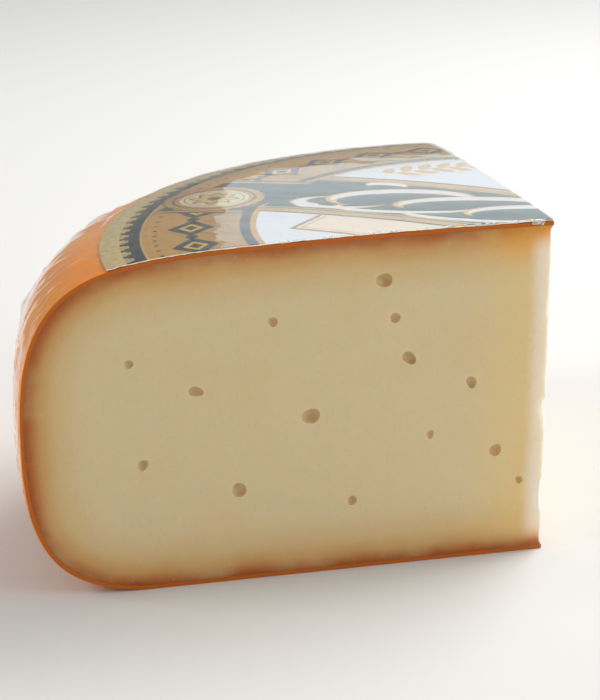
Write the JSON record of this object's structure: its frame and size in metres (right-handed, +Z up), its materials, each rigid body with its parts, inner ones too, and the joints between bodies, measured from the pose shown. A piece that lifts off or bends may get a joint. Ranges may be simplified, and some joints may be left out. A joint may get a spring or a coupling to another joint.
{
  "type": "cheese wedge",
  "caption": "Quarter of a round semi-hard cheese with an orange wax rind, a printed foil label on top and clear shrink film, cut faces bare.",
  "frame": {"origin": "middle of the bounding box, on the plane that the flat lower face rests on", "axes": "+Z up out of the label, +X from the round side towards the knife-cut tip, +Y along the width between the two round corners"},
  "size_m": [0.182, 0.255, 0.1192],
  "materials": {
    "paste": "cut semi-hard cheese paste, pale cream in the middle and golden under the rind, slightly moist",
    "wax": "glossy orange cheese wax",
    "label_foil": null,
    "clear_film": "clear shrink film, glossy and creased"
  },
  "bodies": {
    "root": {"cheese": "paste", "wax_coat": "wax", "label": "label_foil", "shrink_film": "clear_film"}
  },
  "joints": []
}
